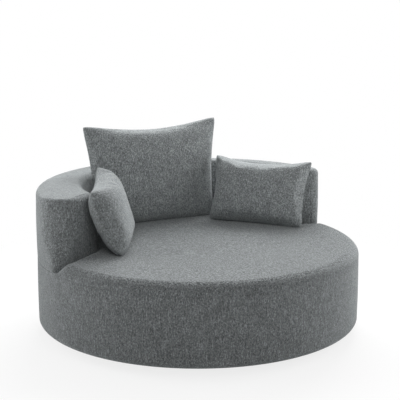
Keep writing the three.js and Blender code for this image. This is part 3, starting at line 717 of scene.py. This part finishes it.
def pillow_grid(spec):
    """Both panels of a pillow in its own plane: x along its width, y up, z to its front. The
    outline is a rectangle less parabolas along its sides. The fullness is a power of one less the
    share of the way to either edge, each raised to its own power."""
    columns, rows = spec["cells"]
    u, v = np.meshgrid(spread(columns), spread(rows))
    half = spec["width"] / 2 - spec["taper"] * (1 - v) / 2
    draw = np.where(v > 0, spec["top"], spec["foot"])
    blunt = spec["blunt"] * (u * v) ** corner_power
    tucked = np.where((u < 0) & (v < 0), spec["tucked"] * (u * v) ** tuck_power, 0)
    x = half * u - spec["side"] * u**3 * (1 - v * v) - blunt * np.sign(u) + tucked
    y = spec["height"] / 2 * v - draw * v**3 * (1 - u * u) - blunt * np.sign(v) + tucked * 0.5
    y += spec["peak"] * (1 + u) / 2 * (1 + v) / 2
    lip = 1 + flat_lip / spec["height"] * 2
    across = abs(u * lip) ** np.where(u < 0, spec["near"], 2)
    upward = abs(v * lip) ** np.where(v < 0, spec["low"], spec["high"])
    fullness = (np.clip(1 - across, 0, 1) * np.clip(1 - upward, 0, 1)) ** spec["plump"]
    edge = np.clip((1 - np.maximum(abs(u), abs(v))) * seam_steepness, 0, 1)
    ripple = folds(spec, u, v) * (1 - np.exp(-fullness * fold_start)) * edge + panel_gap * edge
    slump = -spec["bend"] * (1 - v * v) * (1 - u) / 2
    chest = fullness * (1 + spec["chest"] * v)
    front = np.stack([x, y, spec["front"] * chest + ripple + slump], -1)
    back = np.stack([x, y, -spec["back"] * fullness - ripple + slump], -1)
    return front, back


print("widest gap between columns", np.diff(spread(plain["cells"][0])).max().round(4))

# %% [markdown]
# A short cloth simulation with air pressure then lets the cloth find its own small folds, which
# gather near the seams. The movement is capped, so the pillow keeps the room that its solid holds.

# %% Air in a pillow
air = dict(quality=6, mass=0.3, tension_stiffness=12, compression_stiffness=12, shear_stiffness=4,
           bending_stiffness=0.35, shrink_min=-0.012, use_pressure=True,
           uniform_pressure_force=3.2)
free_height, seam_share = 0.035, 0.12


def inflate(piece, cap, frames=16):
    """Cloth with air in it, run for some frames. Each point's move is scaled by its height over
    the seam's plane, and then capped by a hyperbolic tangent of its length."""
    mesh = piece.data
    before = np.empty(len(mesh.vertices) * 3)
    mesh.vertices.foreach_get("co", before)
    cloth = piece.modifiers.new("air", "CLOTH").settings
    for label, value in air.items():
        setattr(cloth, label, value)
    cloth.effector_weights.gravity = 0
    for step in range(1, frames + 1):
        scene.frame_set(step)
    graph = bpy.context.evaluated_depsgraph_get()
    after = np.empty_like(before)
    piece.evaluated_get(graph).data.vertices.foreach_get("co", after)
    piece.modifiers.clear()
    scene.frame_set(1)
    before = before.reshape(-1, 3)
    move = after.reshape(-1, 3) - before
    move -= move.mean(0)
    move *= np.clip(abs(before[:, 2:]) / free_height, seam_share, 1)
    length = np.linalg.norm(move, axis=1, keepdims=True) + 1e-9
    move *= cap * np.tanh(length / cap) / length
    mesh.vertices.foreach_set("co", (before + move).ravel())
    print(piece.name, "largest move", round(float(length.max()), 4))

# %% [markdown]
# A pillow's own plane is turned to its heading and leaned back. The top of its solid gives the
# height. Last, what would go into the seat or the wall is pressed flat against it.

# %% Pillow place
seat_gap, wall_gap = 0.0008, 0.003
over_wall, behind_y = 0.004, 0.12


def pillow_frame(spec, name):
    """The matrix from a pillow's own plane to the room."""
    turn, lean = math.radians(spec["heading"]), math.radians(spec["lean"])
    facing = Vector((math.cos(turn), math.sin(turn), 0))
    width = Vector((0, 0, 1)).cross(facing)
    up = Vector((0, 0, math.cos(lean))) - facing * math.sin(lean)
    front = width.cross(up)
    top = max(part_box(f"{name}_front_panel")[1].z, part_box(f"{name}_back_panel")[1].z)
    middle = Vector((*spec["place"], 0)) + up * (spec["height"] / 2)
    middle.z = top + spec["rise"] - spec["height"] / 2 * math.cos(lean)
    turned = Matrix((width, up, front)).transposed().to_4x4()
    return Matrix.Translation(middle) @ turned


def press_clear(points):
    """Lifts points out of the seat. Behind a line and below the wall's top, draws points that are
    outside the well's circle straight towards its middle, onto it."""
    x, y, z = points.T
    z = np.maximum(z, seat_height(x, y) + seat_gap)
    offset = points[:, :2] - well_middle
    reach = np.linalg.norm(offset, axis=1)
    limit = well_radius_at(z) - wall_gap
    inside = (z < wall_top + over_wall) & (y > behind_y) & (reach > limit)
    scale = np.where(inside, limit / reach, 1.0)
    flat = well_middle + offset * scale[:, None]
    return np.column_stack([flat, z])

# %% [markdown]
# The steps come together here: panels, air, one level of subdivision, place, cloth.

# %% The three pillows
def build_pillow(name, spec):
    """Makes one pillow, puts it in its place and tells the frame what it stands for."""
    front, back = pillow_grid(spec)
    rows, columns = front.shape[:2]
    points = np.concatenate([front.reshape(-1, 3), back.reshape(-1, 3)])
    faces = np.concatenate([grid_faces(rows, columns),
                            grid_faces(rows, columns, first=rows * columns)[:, ::-1]])
    piece = make_piece(name + "_cloth", points, faces)
    inflate(piece, cap=0.009)
    smooth = piece.modifiers.new("finer", "SUBSURF")
    smooth.levels = smooth.render_levels = 1
    graph = bpy.context.evaluated_depsgraph_get()
    finer = bpy.data.meshes.new_from_object(piece.evaluated_get(graph))
    piece.modifiers.clear()
    piece.data = finer
    coordinates = np.empty(len(finer.vertices) * 3)
    finer.vertices.foreach_get("co", coordinates)
    matrix = np.array(pillow_frame(spec, name))
    placed = coordinates.reshape(-1, 3) @ matrix[:3, :3].T + matrix[:3, 3]
    finer.vertices.foreach_set("co", press_clear(placed).ravel())
    finer.polygons.foreach_set("use_smooth", np.ones(len(finer.polygons), bool))
    finer.update()
    finer.materials.append(spec["cloth"])
    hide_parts(f"{name}_front_panel", f"{name}_back_panel", f"{name}_insert")
    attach(piece, name)


for pillow_name, pillow_spec in pillows.items():
    build_pillow(pillow_name, pillow_spec)

# %% [markdown]
# ## Inside and underneath
# Timber, zinc plate, spring wire and felt are hidden in use and are seen only when the chair is
# turned over or opened. Each still gets a real finish: grain in the wood, a brushed haze on the
# metal, matted fibres in the felt, the foam and the wadding.

# %% Hidden finishes
def plywood():
    """Noise drawn out along x is the grain, and a finer one roughens it."""
    wood = Finish("birch_plywood", Roughness=0.7)
    grain = wood.noise(wood.place((1, 9, 9)), 18, 5.0, 0.6, 0.3)
    fine = wood.noise(wood.place((2, 40, 40)), 20)
    wood.feed(Base_Color=wood.ramp(grain, [(0.3, (0.42, 0.27, 0.13)), (0.7, (0.63, 0.46, 0.27))]),
              Roughness=0.62 + fine * 0.2)
    wood.bump(grain + fine * 0.5, 0.15, 0.0008)
    return wood.material


def metal(name, pale, dark, rough):
    """A haze of two greys, with streaks across y in the roughness."""
    plate = Finish(name, Metallic=1.0)
    haze = plate.noise(plate.place(), 60, 4.0, 0.6)
    streak = plate.noise(plate.place((1, 30, 1)), 40)
    plate.feed(Base_Color=plate.ramp(haze, [(0.3, dark), (0.7, pale)]),
               Roughness=rough + streak * 0.2)
    plate.bump(streak, 0.08, 0.0003)
    return plate.material


def fibres(name, pale, dark):
    """Fine noise, pulled out of shape, that both colours and raises the surface."""
    felt = Finish(name, Roughness=0.95, Sheen_Weight=0.3)
    mat = felt.noise(felt.place(), 300, 5.0, 0.7, 1.5)
    felt.feed(Base_Color=felt.ramp(mat, [(0.3, dark), (0.7, pale)]))
    felt.bump(mat, 0.5, 0.001)
    return felt.material

# %% [markdown]
# The record of the solids names a material for each of them, and each gets its finish by that
# name.

# %% Finishes on the solids
hidden = {
    "timber": plywood(),
    "zinc": metal("zinc_plate", (0.62, 0.64, 0.66), (0.42, 0.44, 0.46), 0.25),
    "spring_steel": metal("spring_wire", (0.20, 0.20, 0.21), (0.10, 0.10, 0.11), 0.3),
    "felt": fibres("black_felt", (0.035, 0.035, 0.036), (0.012, 0.012, 0.013)),
    "foam": fibres("foam_cells", (0.80, 0.73, 0.55), (0.66, 0.58, 0.40)),
    "wadding": fibres("wadding_fibres", (0.86, 0.86, 0.84), (0.70, 0.70, 0.68)),
    "seat_fabric": side_cloth,
    "pillow_fabric": pillow_cloth_painted_light,
}
for part in frame["record"]["subparts"]:
    node = frame["nodes"][part["node"]]
    for material_slot in node.material_slots:
        material_slot.material = hidden[part["material_slot"]]

# %% [markdown]
# ## Camera
# The camera looks down a little from the front left. Its place was worked out from the ellipse of
# the seat's rim and the outline of the drum in the picture.

# %% Camera
camera = bpy.data.objects.new("camera", bpy.data.cameras.new("camera"))
camera.data.lens = 108
camera.data.sensor_width = 36
camera.location = (-2.993, -4.058, 1.646)
target = Vector((0.0065, -0.0048, 0.565))
camera.rotation_euler = (target - camera.location).to_track_quat("-Z", "Y").to_euler()
scene.collection.objects.link(camera)
scene.camera = camera
print("camera to chair", round((target - camera.location).length, 3))

# %% [markdown]
# ## Studio
# A big soft lamp above and behind makes the seat and the wall's top the lightest surfaces, and
# lets the rim fall off fast towards the camera. Two tall lamps beside the chair brighten its edges,
# and a weak one fills the front. Each is placed as the camera sees it and aimed at the seat.

# %% Lamps
lamp_aim = Vector((0, 0, 0.4))
view = Vector((target - camera.location).xy).normalized()
right_of_view = Vector((view.y, -view.x))


def soft_lamp(name, along, side, height, width, depth, power):
    """A rectangular lamp, placed along the camera's view, to its right, and up."""
    data = bpy.data.lights.new(name, "AREA")
    data.shape = "RECTANGLE"
    data.size, data.size_y = width, depth
    data.energy = power
    lamp = bpy.data.objects.new(name, data)
    lamp.location = (*(view * along + right_of_view * side), height)
    lamp.rotation_euler = (lamp_aim - lamp.location).to_track_quat("-Z", "Y").to_euler()
    scene.collection.objects.link(lamp)
    print(name, [round(x, 2) for x in lamp.location])


soft_lamp("overhead", 2.4, 0.45, 2.7, width=2.8, depth=1.8, power=170)
soft_lamp("left_side", 0.0, -3.0, 1.3, width=1.8, depth=2.2, power=40)
soft_lamp("right_side", 0.5, 3.0, 1.3, width=1.8, depth=2.2, power=30)
soft_lamp("front_fill", -3.4, 0.6, 2.6, width=3.0, depth=2.0, power=36)

# %% [markdown]
# The world is white to the camera and to reflections only. On the chair itself it is a weak fill.

# %% World
world_fill = 0.18
world = bpy.data.worlds.new("studio")
scene.world = world
world.use_nodes = True
sky = world.node_tree
path = sky.nodes.new("ShaderNodeLightPath")
camera_ray = Wire(sky, path.outputs["Is Camera Ray"])
glossy_ray = Wire(sky, path.outputs["Is Glossy Ray"])
seen = camera_ray.math("MAXIMUM", camera_ray, glossy_ray)
strength = seen * (1 - world_fill) + world_fill
backdrop = sky.nodes["Background"]
backdrop.inputs["Color"].default_value = (1, 1, 1, 1)
sky.links.new(strength.socket, backdrop.inputs["Strength"])
print("world fill", world_fill)

# %% [markdown]
# The floor is plain paper near the chair, mixed with white light that only the camera sees, and
# turns into the white of the world further out. The chair's shadow shows on the paper's share.

# %% Floor
half, glow_near, glow_reach = 14.0, 0.72, 1.75
floor_mesh = bpy.data.meshes.new("floor")
floor_mesh.from_pydata([(-half, -half, 0), (half, -half, 0), (half, half, 0), (-half, half, 0)],
                       [], [(0, 1, 2, 3)])
floor = bpy.data.objects.new("floor", floor_mesh)
scene.collection.objects.link(floor)
paper = Finish("pale_paper", Roughness=0.9, Base_Color=(0.9, 0.9, 0.9, 1))
seen_by_camera = paper.node("LightPath")
glow = paper.node("Emission", Color=(1, 1, 1, 1), Strength=1.0)
distance = paper.node("VectorMath", out=1, settings={"operation": "LENGTH"},
                      _0=paper.coordinates())
whiter = (distance * ((1 - glow_near) / glow_reach) + glow_near).clamp()
blend = paper.node("MixShader", _0=seen_by_camera * whiter,
                   _1=Wire(paper.tree, paper.shader.outputs[0]), _2=glow)
surface = paper.tree.nodes["Material Output"].inputs["Surface"]
paper.tree.links.new(blend.socket, surface)
floor_mesh.materials.append(paper.material)
print("floor", 2 * half, "across")

# %% Finish
scene.view_settings.view_transform = "Standard"
